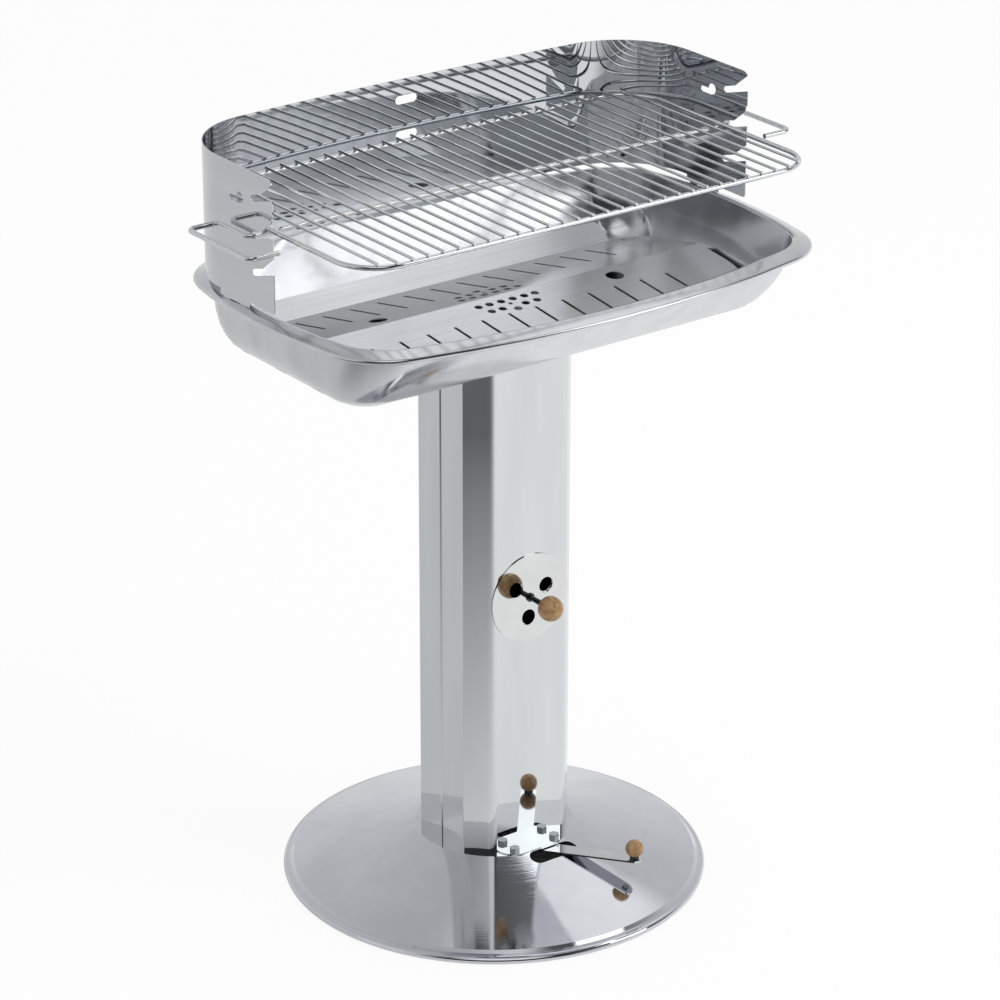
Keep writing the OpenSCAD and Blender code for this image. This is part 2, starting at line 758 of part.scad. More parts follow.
module damper_knob() {
    color(wood) at_damper(damper_face + knob_out)
        wooden_ball(knob_r, spindle_collar_r, spindle_r, knob_bore_l);
}

module damper_washer() {
    color(dull) at_damper(col_hy - col_t - gap - washer_t) difference() {
        cylinder(r = washer_r, h = washer_t);
        translate([0, 0, -over]) cylinder(r = spindle_r, h = washer_t + 2 * over);
    }
}

// dished spring washer between the flat washer and the nut
module damper_spring_washer() {
    color(dull) at_damper(col_hy - col_t - gap - washer_t - spring_h) rotate_extrude()
        polygon([[spindle_r, 0], [spindle_r + spring_t, 0], [spring_r, spring_h - spring_t],
            [spring_r, spring_h], [spring_r - spring_t, spring_h], [spindle_r, spring_t]]);
}

module damper_nut() {
    color(dull) at_damper(col_hy - col_t - gap - washer_t - spring_h - damper_nut_h)
        nut(damper_nut_af, damper_nut_h, spindle_r);
}

// drawn bowl with a sloping collar and a rolled lip
module fire_tray() {
    outer = [for (s = level_shares) wall_ring(floor_z + s * (wall_top_z - floor_z), 0)];
    inner = [for (s = inner_level_shares)
        wall_ring(tray_floor + s * (wall_top_z - tray_floor), tray_t)];
    under = [for (p = collar_path(tray_t)) collar_ring(p[0], p[1])];
    top = [for (p = collar_path(0)) collar_ring(p[0], p[1])];
    color(steel) difference() {
        skin(concat(outer, under, reversed(top), reversed(inner)));
        translate([0, 0, floor_z - over]) cylinder(r = tray_hole_r, h = tray_t + 2 * over);
        head_places() translate([0, 0, floor_z - over])
            cylinder(r = bolt_r + bolt_fit, h = tray_t + 2 * over);
        for (m = [0, 1], i = [-1 : 1]) mirror([m, 0, 0])
            translate([air_slot_x, air_slot_y + i * air_slot_pitch, floor_z + air_slot_z])
                rotate([0, 90, 0]) rotate([0, 0, 90])
                    translate([0, 0, -bowl_r / 4]) capsule(air_slot_l, air_slot_h, bowl_r / 2);
        tongue_places() translate([-gap - screen_t, -gap, -tongue_h])
            cube([screen_t + 2 * gap, tongue_l + 2 * gap, 2 * tongue_h]);
    }
}

// bent plate: section along the depth, trimmed to its outline, with slots and holes
module charcoal_plate() {
    path = [[-front_fold_y - front_up_l * sin(front_up_a), front_fold_top + front_up_l * cos(front_up_a)],
        [-front_fold_y, front_fold_top], [-ridge_front, ridge_h],
        [rear_fold_y, rear_fold_top],
        [rear_fold_y + rear_up_l * sin(rear_up_a), rear_fold_top + rear_up_l * cos(rear_up_a)]];
    color(dull) difference() {
        intersection() {
            rotate([90, 0, 90]) translate([0, 0, -plate_hx]) linear_extrude(2 * plate_hx)
                polygon(concat(path, reversed(shifted(path, -plate_t))));
            translate([0, 0, floor_z]) linear_extrude(rim_rise) plate_outline();
        }
        translate([0, -ridge_front, floor_z]) plate_holes();
    }
}

module rounded_rect(hx, y0, y1, r) {
    translate([-hx, y0 + r]) square([2 * hx, y1 - y0 - 2 * r]);
    translate([-hx + r, y0]) square([2 * hx - 2 * r, y1 - y0]);
    for (x = [-hx + r, hx - r], y = [y0 + r, y1 - r]) translate([x, y]) circle(r = r);
}

module plate_outline() {
    front_tip = front_fold_y + front_up_l * sin(front_up_a);
    rear_tip = rear_fold_y + rear_up_l * sin(rear_up_a);
    rounded_rect(plate_hx, -front_fold_y - plate_t, rear_fold_y / 2, plate_front_corner_r);
    rounded_rect(plate_hx, -front_fold_y / 2, rear_fold_y + plate_t, plate_corner_r);
    rounded_rect(front_upstand_hx, -front_tip - plate_t, 0, upstand_corner_r);
    rounded_rect(upstand_hx, 0, rear_tip + plate_t, upstand_corner_r);
}

// slots and holes of both panels, seen from the ridge
module plate_holes() {
    for (s = [-1, 1]) mirror([0, s < 0 ? 1 : 0, 0]) {
        for (k = [-5.5 : 1 : 5.5]) translate([k * slit_pitch, (slit_near + slit_far) / 2, 0])
            rotate([0, 0, 90]) capsule(slit_far - slit_near, slit_w, rim_rise);
        for (x = vent_row_shares) translate([x * vent_pitch, vent_row_y, 0]) vent(vent_r);
        for (x = vent_row2_shares) translate([x * vent_pitch, abs(x) < 0.5 ? vent_mid_y : vent_row2_y, 0])
            vent(vent_r);
        translate([vent_row2_shares[2] * vent_pitch, vent_small_y, 0]) vent(vent_small_r);
        for (x = [-corner_slit_x, corner_slit_x]) translate([x, corner_slit_y, 0])
            rotate([0, 0, 90]) capsule(corner_slit_l, slit_w, rim_rise);
        translate([-s * grip_x, grip_out, 0]) vent(grip_r);
    }
}

module vent(r) {
    cylinder(r = r, h = rim_rise);
}

// outline of the windscreen seen from above: right half, from the wing's front to the middle
function screen_half(off) =
    let (r = screen_corner_r - off, cx = screen_hx - screen_corner_r, cy = screen_back - screen_corner_r)
    concat([[screen_hx - off, -screen_front]],
        [for (i = [0 : 16]) [cx + r * cos(90 * i / 16), cy + r * sin(90 * i / 16)]],
        [for (i = [1 : 6]) let (t = 1 - i / 6) [cx * t, screen_back - off + screen_bow * (1 - t * t)]]);

function screen_line(off) =
    let (h = screen_half(off)) concat(h, [for (p = reversed(h)) if (p[0] > 0) [-p[0], p[1]]]);

module screen_strip(z0, z1) {
    translate([0, 0, z0]) linear_extrude(z1 - z0)
        polygon(concat(screen_line(0), reversed(screen_line(screen_t))));
}

module tongue_places() {
    for (x = [-screen_hx + screen_t, screen_hx], y = [tongue_in, screen_foot_l - tongue_in - tongue_l])
        translate([x, foot_step + y, screen_seat_z]) children();
}

// notch outline in its own frame: +X runs towards the front along the notch, +Y is up
module notch() {
    out = 2 * screen_front;
    rise = tan(flare_a - notch_a);
    circle(r = notch_r);
    polygon([[0, -notch_r], [out, -notch_r], [out, notch_r + (out - throat_l) * rise],
        [throat_l, notch_r], [0, notch_r]]);
}

// cut in both wings, drawn as seen from the side: +X is towards the rear, +Y is up
module wing_cut() {
    rotate([90, 0, 90]) translate([0, 0, -screen_hx - over]) linear_extrude(2 * screen_hx + 2 * over)
        children();
}

module windscreen() {
    color(steel) difference() {
        union() {
            screen_strip(screen_bottom, screen_top);
            intersection() {
                screen_strip(screen_seat_z, screen_bottom + over);
                translate([-screen_hx - over, foot_step, 0])
                    cube([2 * screen_hx + 2 * over, screen_foot_l, screen_top]);
            }
            tongue_places() translate([-screen_t, 0, -tongue_h])
                cube([screen_t, tongue_l, tongue_h + screen_gap]);
        }
        wing_cut() {
            for (k = [0 : 2]) translate([-notch_c_y, notch_c_z + k * notch_pitch])
                rotate(180 - notch_a) mirror([0, 1]) notch();
            translate([keyhole_y, crest_z + keyhole_z]) circle(r = keyhole_r);
            translate([keyhole_y, crest_z + keyhole_z - keyhole_drop]) {
                translate([0, -keyhole_slot_h / 2])
                    square([keyhole_slot_l - keyhole_slot_h / 2, keyhole_slot_h]);
                translate([keyhole_slot_l - keyhole_slot_h / 2, 0]) circle(d = keyhole_slot_h);
            }
            translate([-screen_front - relief_r + relief_depth, crest_z + relief_z]) circle(r = relief_r);
            difference() {
                translate([-screen_front - over, screen_top - screen_top_r])
                    square([screen_top_r + over, screen_top_r + over]);
                translate([-screen_front + screen_top_r, screen_top - screen_top_r])
                    circle(r = screen_top_r);
            }
            difference() {
                translate([-screen_front - over, screen_bottom - over])
                    square([foot_corner_r + over, foot_corner_r + over]);
                translate([-screen_front + foot_corner_r, screen_bottom + foot_corner_r])
                    circle(r = foot_corner_r);
            }
        }
        for (z = [back_slot_z, back_slot_z2])
            translate([back_slot_x, screen_back + 2 * screen_bow, crest_z + z]) rotate([90, 0, 0])
                capsule(back_slot_l, back_slot_h, 4 * screen_bow);
    }
}

// straight wire from p to q, along X or Y
module leg(p, q, r) {
    translate(p) rotate(q[0] == p[0] ? [q[1] > p[1] ? -90 : 90, 0, 0] : [0, q[0] > p[0] ? 90 : -90, 0])
        cylinder(r = r, h = norm(q - p), $fn = 24);
}

// quarter bend of a wire about c, starting at angle a
module elbow(c, a, bend_r, r) {
    translate(c) rotate([0, 0, a]) rotate_extrude(angle = 90) translate([bend_r, 0]) circle(r = r, $fn = 24);
}

// closed frame wire with smaller corners in front
module grid_frame() {
    front_x = frame_hx - frame_front_r;
    back_x = frame_hx - frame_back_r;
    front_y = frame_front_r - frame_front;
    back_y = frame_back - frame_back_r;
    color(steel) translate([0, 0, frame_z]) for (m = [0, 1]) mirror([m, 0, 0]) {
        leg([frame_hx, front_y], [frame_hx, back_y], frame_r);
        leg([0, -frame_front], [front_x, -frame_front], frame_r);
        leg([0, frame_back], [back_x, frame_back], frame_r);
        elbow([front_x, front_y], -90, frame_front_r, frame_r);
        elbow([back_x, back_y], 0, frame_back_r, frame_r);
    }
}

// distance by which the frame's rounded corner is drawn in at a rod
function corner_in(x, r) = let (d = abs(x) - (frame_hx - r)) d > 0 ? r - sqrt(r * r - d * d) : 0;

module grid_rods() {
    color(steel) for (k = [-(rod_count - 1) / 2 : (rod_count - 1) / 2]) {
        x = k * rod_pitch;
        y0 = -frame_front + corner_in(x, frame_front_r) - rod_over;
        y1 = frame_back - corner_in(x, frame_back_r) + rod_over;
        translate([x, y0, rod_z]) rotate([-90, 0, 0]) cylinder(r = rod_r, h = y1 - y0, $fn = 16);
    }
}

// one long wire: the cross bar in the middle notches, bent into a handle at each end
module cross_bar_handles() {
    b = handle_bend_r;
    color(steel) translate([0, 0, bar_z]) for (m = [0, 1]) mirror([m, 0, 0]) {
        leg([0, -bar_y], [handle_in - b, -bar_y], bar_r);
        elbow([handle_in - b, b - bar_y], -90, b, bar_r);
        leg([handle_in, b - bar_y], [handle_in, handle_back - b], bar_r);
        elbow([handle_in + b, handle_back - b], 90, b, bar_r);
        leg([handle_in + b, handle_back], [handle_hx - b, handle_back], bar_r);
        elbow([handle_hx - b, handle_back - b], 0, b, bar_r);
        leg([handle_hx, handle_back - b], [handle_hx, b - handle_front], bar_r);
        elbow([handle_hx - b, b - handle_front], -90, b, bar_r);
        leg([handle_hx - b, -handle_front], [handle_in, -handle_front], bar_r);
    }
}

base_dish();
column_front_shell();
column_rear_shell();
foot_bolts();
foot_nuts();
head_bolts();
head_nuts();
flap_pivot_stud();
flap_pivot_washer();
flap_pivot_nut();
air_flap();
flap_rivets();
air_lever();
lever_collar();
lever_ball();
lever_ball_screw();
damper_disc();
damper_spindle();
damper_knob();
damper_washer();
damper_spring_washer();
damper_nut();
fire_tray();
charcoal_plate();
windscreen();
grid_frame();
grid_rods();
cross_bar_handles();
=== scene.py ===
import math

import bpy
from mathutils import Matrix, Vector

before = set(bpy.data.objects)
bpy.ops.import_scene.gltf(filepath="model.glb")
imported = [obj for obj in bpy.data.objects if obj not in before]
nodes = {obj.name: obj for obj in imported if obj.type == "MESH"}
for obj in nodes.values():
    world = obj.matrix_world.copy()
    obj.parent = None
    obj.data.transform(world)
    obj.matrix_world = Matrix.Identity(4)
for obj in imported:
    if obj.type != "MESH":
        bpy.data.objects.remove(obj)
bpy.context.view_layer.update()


# Base dish: one disc of stainless sheet, spun on a lathe into a shallow cone with a rolled rim.
# It is polished to a mirror afterwards, and the last pass leaves fine rings round the middle.
# The four bolts of the column's foot tabs hold it.

def linear(hex_colour):
    """An sRGB hex colour as the linear RGBA that Blender's sockets take."""
    parts = [int(hex_colour[i:i + 2], 16) / 255 for i in (1, 3, 5)]
    return [c / 12.92 if c <= 0.04045 else ((c + 0.055) / 1.055) ** 2.4 for c in parts] + [1.0]


def add(tree, kind, settings=None, links=None):
    """Adds one node: settings holds properties, ramp stops and socket values, links what feeds it."""
    node = tree.nodes.new(kind)
    for key, value in (settings or {}).items():
        if key == "stops":
            points = node.color_ramp.elements
            while len(points) < len(value):
                points.new(0.5)
            for point, (place, colour) in zip(points, value):
                point.position = place
                point.color = linear(colour)
        elif isinstance(key, str) and hasattr(node, key):
            setattr(node, key, value)
        else:
            node.inputs[key].default_value = value
    for key, output in (links or {}).items():
        tree.links.new(output, node.inputs[key])
    return node


def finish_named(name, settings):
    """A new material for one real finish: its node tree and its shader."""
    material = bpy.data.materials.new(name)
    material.use_nodes = True
    tree = material.node_tree
    tree.nodes.clear()
    shader = add(tree, "ShaderNodeBsdfPrincipled", settings)
    add(tree, "ShaderNodeOutputMaterial", {}, {"Surface": shader.outputs[0]})
    return material, tree, shader


def feed(tree, shader, **outputs):
    """Links outputs to the shader's sockets: base_color=x feeds the socket Base Color."""
    for key, output in outputs.items():
        tree.links.new(output, shader.inputs[key.replace("_", " ").title()])


def dress(material, *names):
    """Gives CAD nodes, which keep their shape, the finish of the real piece."""
    for name in names:
        nodes[name].data.materials.clear()
        nodes[name].data.materials.append(material)


# Spun stainless steel, AISI 430, buffed: a mirror whose reflections soften along the lathe's rings.
# The rings of the tool are 0.3 mm apart; they are drawn 1.6 mm apart so that they show.
RING_MM = 1.6
BUFFED_PATCH_MM = 70
spun_steel, tree, shader = finish_named(
    "spun_buffed_stainless", {"Metallic": 1.0, "Roughness": 0.06, "Anisotropic": 0.3})
place = add(tree, "ShaderNodeTexCoord").outputs["Object"]
flat = add(tree, "ShaderNodeVectorMath", {"operation": "MULTIPLY", 1: (1, 1, 0)}, {0: place})
radius = add(tree, "ShaderNodeVectorMath", {"operation": "LENGTH"}, {0: flat.outputs[0]}).outputs["Value"]
turns = add(tree, "ShaderNodeMath", {"operation": "MULTIPLY", 1: 1000 / RING_MM}, {0: radius}).outputs[0]
rings = add(tree, "ShaderNodeTexNoise",
            {"noise_dimensions": "1D", "Scale": 1.0, "Detail": 2.0}, {"W": turns})
haze = add(tree, "ShaderNodeTexNoise",
           {"Scale": 1000 / BUFFED_PATCH_MM, "Detail": 3.0, "Roughness": 0.6}, {"Vector": place})
colour = add(tree, "ShaderNodeValToRGB", {"stops": ((0.3, "#D0D1D8"), (0.7, "#DADBE1"))},
             {"Fac": haze.outputs["Fac"]})
gloss = add(tree, "ShaderNodeMapRange", {"To Min": 0.04, "To Max": 0.08}, {"Value": haze.outputs["Fac"]})
tangent = add(tree, "ShaderNodeTangent", {"direction_type": "RADIAL", "axis": "Z"})
bump = add(tree, "ShaderNodeBump", {"Strength": 0.06, "Distance": 0.0003}, {"Height": rings.outputs["Fac"]})
feed(tree, shader, base_color=colour.outputs[0], roughness=gloss.outputs[0],
     tangent=tangent.outputs[0], normal=bump.outputs[0])
dress(spun_steel, "base_dish")


# Column: two folded halves of 1.2 mm stainless sheet that meet in the middle of each side.
# Their seam flanges are spot-welded inside; the front and rear feet are bent out and bolted down.
# Bright sheet from the coil: a clean mirror with a slight wave, and crisp folds at the sides.

def stretched(mm):
    """Mapping scales for a pattern whose marks are about so many millimetres long on each axis."""
    return [1000 / length for length in mm]


def bright_sheet(name, band_mm, wave_mm, wave_strength, tints, roughness):
    """Mirror-bright stainless sheet: faint bands from the rolls, and slight waves wave_mm apart."""
    material, tree, shader = finish_named(name, {"Metallic": 1.0})
    place = add(tree, "ShaderNodeTexCoord").outputs["Object"]
    along = add(tree, "ShaderNodeMapping", {"Scale": stretched(band_mm)}, {"Vector": place}).outputs[0]
    bands = add(tree, "ShaderNodeTexNoise", {"Scale": 1.0, "Detail": 3.0}, {"Vector": along}).outputs["Fac"]
    waves = add(tree, "ShaderNodeTexNoise", {"Scale": 1000 / wave_mm, "Detail": 0.0}, {"Vector": place})
    colour = add(tree, "ShaderNodeValToRGB", {"stops": ((0.3, tints[0]), (0.7, tints[1]))}, {"Fac": bands})
    gloss = add(tree, "ShaderNodeMapRange", {"To Min": roughness[0], "To Max": roughness[1]},
                {"Value": bands})
    bump = add(tree, "ShaderNodeBump", {"Strength": wave_strength, "Distance": 0.002},
               {"Height": waves.outputs["Fac"]})
    feed(tree, shader, base_color=colour.outputs[0], roughness=gloss.outputs[0], normal=bump.outputs[0])
    return material


SAME_POINT = 0.00001


def even_folds(name, sharp_degrees):
    """Shades a sheet's facets as one smooth bend, with hard edges above the given angle."""
    piece = nodes[name]
    for polygon in piece.data.polygons:
        polygon.use_smooth = True
    piece.modifiers.new("joined_faces", "WELD").merge_threshold = SAME_POINT
    piece.modifiers.new("sheared_edges", "EDGE_SPLIT").split_angle = math.radians(sharp_degrees)
    piece.modifiers.new("even_curves", "WEIGHTED_NORMAL").keep_sharp = True


column_sheet = bright_sheet("bright_annealed_column_sheet", band_mm=(33, 33, 250), wave_mm=160,
                            wave_strength=0.2, tints=("#D3D6D8", "#DADDDE"), roughness=(0.02, 0.05))
dress(column_sheet, "column_front_shell", "column_rear_shell")
even_folds("column_front_shell", sharp_degrees=20)
even_folds("column_rear_shell", sharp_degrees=20)


# Fasteners: M6 hexagon bolts and nuts of the foot and of the tray's floor, the flap's pivot,
# rivets, washers and the screw in the lever's ball, all cold-headed or pressed from steel.

# Zinc-plated and passivated steel: a dull, slightly blotchy bluish metal. The zinc's crystals are
# 0.2 mm wide; they are drawn 2.4 mm wide so that they show.
CRYSTAL_MM = 2.4
zinc, tree, shader = finish_named("zinc_plated_steel", {"Metallic": 1.0, "Roughness": 0.3})
place = add(tree, "ShaderNodeTexCoord").outputs["Object"]
spangle = add(tree, "ShaderNodeTexNoise", {"Scale": 1000 / CRYSTAL_MM, "Detail": 3.0},
              {"Vector": place}).outputs["Fac"]
colour = add(tree, "ShaderNodeValToRGB", {"stops": ((0.3, "#8F9398"), (0.7, "#B4B8BC"))}, {"Fac": spangle})
gloss = add(tree, "ShaderNodeMapRange", {"To Min": 0.2, "To Max": 0.4}, {"Value": spangle})
bump = add(tree, "ShaderNodeBump", {"Strength": 0.2, "Distance": 0.0002}, {"Height": spangle})
feed(tree, shader, base_color=colour.outputs[0], roughness=gloss.outputs[0], normal=bump.outputs[0])
dress(zinc, "foot_bolts", "foot_nuts", "head_bolts", "head_nuts", "flap_pivot_stud",
      "flap_pivot_washer", "flap_pivot_nut", "flap_rivets", "lever_ball_screw",
      "damper_washer", "damper_spring_washer", "damper_nut")


# Air flap and lever: a satin disc under the base's hole, riveted to a bright strip that passes
# through the slot of the base. Both are sheared from sheet, and the strip's outer end is rounded.

# Mill-finished sheet is rolled and pickled: soft grey, and its etched skin scatters part of the
# light, so it is drawn less metallic. Its 0.05 mm rolling lines are drawn 1.9 mm apart to show.
ROLLING_LINE_MM = (200, 1.9, 1.9)
PICKLED_CLOUD_MM = 110
mill_sheet, tree, shader = finish_named("mill_finish_stainless", {"Metallic": 0.6})
place = add(tree, "ShaderNodeTexCoord").outputs["Object"]
along = add(tree, "ShaderNodeMapping", {"Scale": stretched(ROLLING_LINE_MM)}, {"Vector": place}).outputs[0]
grain = add(tree, "ShaderNodeTexNoise", {"Scale": 1.0, "Detail": 5.0, "Roughness": 0.65}, {"Vector": along})
cloud = add(tree, "ShaderNodeTexNoise", {"Scale": 1000 / PICKLED_CLOUD_MM, "Detail": 3.0}, {"Vector": place})
colour = add(tree, "ShaderNodeValToRGB", {"stops": ((0.25, "#D2D4D7"), (0.75, "#E6E8EA"))},
             {"Fac": grain.outputs["Fac"]})
gloss = add(tree, "ShaderNodeMapRange", {"To Min": 0.2, "To Max": 0.3}, {"Value": cloud.outputs["Fac"]})
bump = add(tree, "ShaderNodeBump", {"Strength": 0.12, "Distance": 0.0002}, {"Height": grain.outputs["Fac"]})
feed(tree, shader, base_color=colour.outputs[0], roughness=gloss.outputs[0], normal=bump.outputs[0])
lever_strip = bright_sheet("bright_lever_strip", band_mm=(33, 33, 33), wave_mm=60,
                           wave_strength=0.2, tints=("#CFD1D3", "#DADBDD"), roughness=(0.06, 0.12))
dress(mill_sheet, "air_flap")
dress(lever_strip, "air_lever")


# Lever ball and damper knob: beech, turned on a lathe, drilled for the screw and lacquered.
# The lever's ball is screwed on from below, the knob sits on the damper's spindle.

# Lacquered beech: end grain towards the screw, long grain round the side and small dark flecks.
# The bands of its figure are 4 mm apart and the flecks up to 4 mm long, as in the wood.
FIGURE_MM = (4.3, 4.3, 29)
FLECK_MM = (0.7, 0.7, 3.8)


def turned_beech(name, axis_turn):
    """Lacquered beech whose grain runs along the piece's own axis."""
    material, tree, shader = finish_named(
        name, {"IOR": 1.5, "Roughness": 0.42, "Coat Weight": 0.5, "Coat Roughness": 0.15})
    place = add(tree, "ShaderNodeTexCoord").outputs["Object"]
    turned = add(tree, "ShaderNodeMapping", {"Rotation": axis_turn}, {"Vector": place}).outputs[0]
    long = add(tree, "ShaderNodeMapping", {"Scale": stretched(FIGURE_MM)}, {"Vector": turned}).outputs[0]
    figure = add(tree, "ShaderNodeTexNoise",
                 {"Scale": 1.0, "Detail": 4.0, "Roughness": 0.6}, {"Vector": long})
    fine = add(tree, "ShaderNodeMapping", {"Scale": stretched(FLECK_MM)}, {"Vector": turned}).outputs[0]
    flecks = add(tree, "ShaderNodeTexNoise", {"Scale": 1.0, "Detail": 2.0}, {"Vector": fine})
    ground = add(tree, "ShaderNodeValToRGB",
                 {"stops": ((0.25, "#7E5A34"), (0.5, "#A07B4E"), (0.8, "#BE9E72"))},
                 {"Fac": figure.outputs["Fac"]})
    dark = add(tree, "ShaderNodeMapRange", {"From Min": 0.62, "From Max": 0.8, "To Max": 0.5},
               {"Value": flecks.outputs["Fac"]})
    mixed = add(tree, "ShaderNodeMix", {"data_type": "RGBA", "B": linear("#5E4026")},
                {"Factor": dark.outputs[0], "A": ground.outputs[0]})
    bump = add(tree, "ShaderNodeBump", {"Strength": 0.15, "Distance": 0.0002},
               {"Height": figure.outputs["Fac"]})
    feed(tree, shader, base_color=mixed.outputs["Result"], normal=bump.outputs[0])
    return material


dress(turned_beech("lacquered_beech_lever_ball", (0, 0, 0)), "lever_ball")
dress(turned_beech("lacquered_beech_damper_knob", (math.radians(90), 0, 0)), "damper_knob")


# Damper: a bright disc with three holes over three holes of the column, turned by a wooden knob.
# The disc is punched from bright sheet; the spindle and the lever's collar are turned.

# Blackened free-cutting steel, from a hot salt bath and oiled: near black with a soft shine. The
# turning marks are 0.1 mm apart; they are drawn 1.4 mm apart so that they show.
TURNING_MM = 1.4
blackened, tree, shader = finish_named("blackened_steel", {"Metallic": 1.0, "Roughness": 0.28})
place = add(tree, "ShaderNodeTexCoord").outputs["Object"]
turning = add(tree, "ShaderNodeTexNoise", {"Scale": 1000 / TURNING_MM, "Detail": 2.0},
              {"Vector": place}).outputs["Fac"]
colour = add(tree, "ShaderNodeValToRGB", {"stops": ((0.3, "#3A3B3F"), (0.75, "#5C5D61"))}, {"Fac": turning})
gloss = add(tree, "ShaderNodeMapRange", {"To Min": 0.2, "To Max": 0.4}, {"Value": turning})
feed(tree, shader, base_color=colour.outputs[0], roughness=gloss.outputs[0])
damper_sheet = bright_sheet("bright_damper_disc", band_mm=(33, 170, 33), wave_mm=90,
                            wave_strength=0.2, tints=("#D8DADA", "#E2E3E3"), roughness=(0.03, 0.07))
dress(blackened, "damper_spindle", "lever_collar")
dress(damper_sheet, "damper_disc")


# Fire tray: one blank of stainless sheet drawn over a punch into an oblong bowl with a rolled rim.
# The tray is bolted to the column's head tabs, and slots in its lower walls let air in.

# Drawn stainless steel: fairly bright, softened by the vertical streaks that the draw pulls down
# the walls. The streaks are about 33 mm apart and run the whole height of the wall.
STREAK_MM = (33, 33, 200)
drawn_sheet, tree, shader = finish_named("drawn_stainless_tray", {"Metallic": 1.0, "Anisotropic": 0.2})
place = add(tree, "ShaderNodeTexCoord").outputs["Object"]
pull = add(tree, "ShaderNodeMapping", {"Scale": stretched(STREAK_MM)}, {"Vector": place}).outputs[0]
streaks = add(tree, "ShaderNodeTexNoise", {"Scale": 1.0, "Detail": 2.0, "Roughness": 0.5}, {"Vector": pull})
colour = add(tree, "ShaderNodeValToRGB", {"stops": ((0.3, "#CED1D4"), (0.7, "#DADDE0"))},
             {"Fac": streaks.outputs["Fac"]})
gloss = add(tree, "ShaderNodeMapRange", {"To Min": 0.1, "To Max": 0.2}, {"Value": streaks.outputs["Fac"]})
bump = add(tree, "ShaderNodeBump", {"Strength": 0.15, "Distance": 0.001}, {"Height": streaks.outputs["Fac"]})
feed(tree, shader, base_color=colour.outputs[0], roughness=gloss.outputs[0], normal=bump.outputs[0])
dress(drawn_sheet, "fire_tray")
even_folds("fire_tray", sharp_degrees=35)


# Charcoal plate: sheet as it comes from the mill, sheared, pierced with slits and holes, and
# bent at a low ridge. It lies loose in the tray, and its turned-up edges stiffen it.
dress(mill_sheet, "charcoal_plate")


# Windscreen: one strip of bright sheet bent round two corners, with three notches in each wing.
# Two tongues under each wing stand in slots of the tray's rim. The inside mirrors the grid.
screen_sheet = bright_sheet("bright_windscreen_sheet", band_mm=(330, 330, 33), wave_mm=120,
                            wave_strength=0.35, tints=("#CFD2D6", "#D8DBDF"), roughness=(0.015, 0.04))
dress(screen_sheet, "windscreen")
even_folds("windscreen", sharp_degrees=20)


# Grid: a closed frame of 5.6 mm wire, thirty 3.2 mm rods and a long cross bar whose ends
# form the handles. The wire is drawn steel, bent and resistance-welded before plating.

# Nickel and chrome plated wire: bright, with faint patches where the plating is thinner.
PLATING_PATCH_MM = 3.3
chromed, tree, shader = finish_named("chrome_plated_wire", {"Metallic": 1.0})
place = add(tree, "ShaderNodeTexCoord").outputs["Object"]
plating = add(tree, "ShaderNodeTexNoise", {"Scale": 1000 / PLATING_PATCH_MM, "Detail": 3.0},
              {"Vector": place}).outputs["Fac"]
colour = add(tree, "ShaderNodeValToRGB", {"stops": ((0.3, "#CFD1D3"), (0.7, "#E2E3E4"))}, {"Fac": plating})
gloss = add(tree, "ShaderNodeMapRange", {"To Min": 0.05, "To Max": 0.12}, {"Value": plating})
bump = add(tree, "ShaderNodeBump", {"Strength": 0.05, "Distance": 0.0002}, {"Height": plating})
feed(tree, shader, base_color=colour.outputs[0], roughness=gloss.outputs[0], normal=bump.outputs[0])
dress(chromed, "grid_frame", "grid_rods", "cross_bar_handles")


# Studio table: it glows white for the camera, with the grill's own shadow under the base. For the metal it
# glows with painted light, brightest front right, and a painted darker patch on the paper stands for a
# darker corner of the room to the left of the camera. Distances are in metres from the middle of the base.
FLOOR_HALF = 9.0
PAPER_LEVEL = 0.8
PAPER_SLOPE = (0.16, -0.08, 0.0)
DARK_WAY = (-0.804, -0.594, 0.0)
DARK_EDGE = 0.45
DARK_CORE = 0.95
DARK_NEAR = 0.25
DARK_FAR = 1.4
DARKEST_SHARE = 0.92
SHADOW_R = 0.225
SHADOW_SHARE = 0.12
paper = bpy.data.meshes.new("paper_floor")
paper.from_pydata([(-FLOOR_HALF, -FLOOR_HALF, 0), (FLOOR_HALF, -FLOOR_HALF, 0),
                   (FLOOR_HALF, FLOOR_HALF, 0), (-FLOOR_HALF, FLOOR_HALF, 0)], [], [(0, 1, 2, 3)])
floor = bpy.data.objects.new("paper_floor", paper)
bpy.context.scene.collection.objects.link(floor)
white_paper, tree, shader = finish_named(
    "white_paper", {"Base Color": linear("#FFFFFF"), "Roughness": 0.9, "Specular IOR Level": 0.0})
rays = add(tree, "ShaderNodeLightPath")
place = add(tree, "ShaderNodeTexCoord").outputs["Object"]
reach = add(tree, "ShaderNodeVectorMath", {"operation": "LENGTH"}, {0: place}).outputs["Value"]
way = add(tree, "ShaderNodeVectorMath", {"operation": "NORMALIZE"}, {0: place}).outputs[0]
slope = add(tree, "ShaderNodeVectorMath", {"operation": "DOT_PRODUCT", 1: PAPER_SLOPE}, {0: way})
shade = add(tree, "ShaderNodeMath", {"operation": "ADD", 1: PAPER_LEVEL},
            {0: slope.outputs["Value"]}).outputs[0]
toward_dark = add(tree, "ShaderNodeVectorMath", {"operation": "DOT_PRODUCT", 1: DARK_WAY}, {0: way})
in_dark = add(tree, "ShaderNodeMapRange",
              {"interpolation_type": "SMOOTHSTEP", "From Min": DARK_EDGE, "From Max": DARK_CORE},
              {"Value": toward_dark.outputs["Value"]}).outputs[0]
far = add(tree, "ShaderNodeMapRange", {"From Min": DARK_NEAR, "From Max": DARK_FAR, "To Max": DARKEST_SHARE},
          {"Value": reach}).outputs[0]
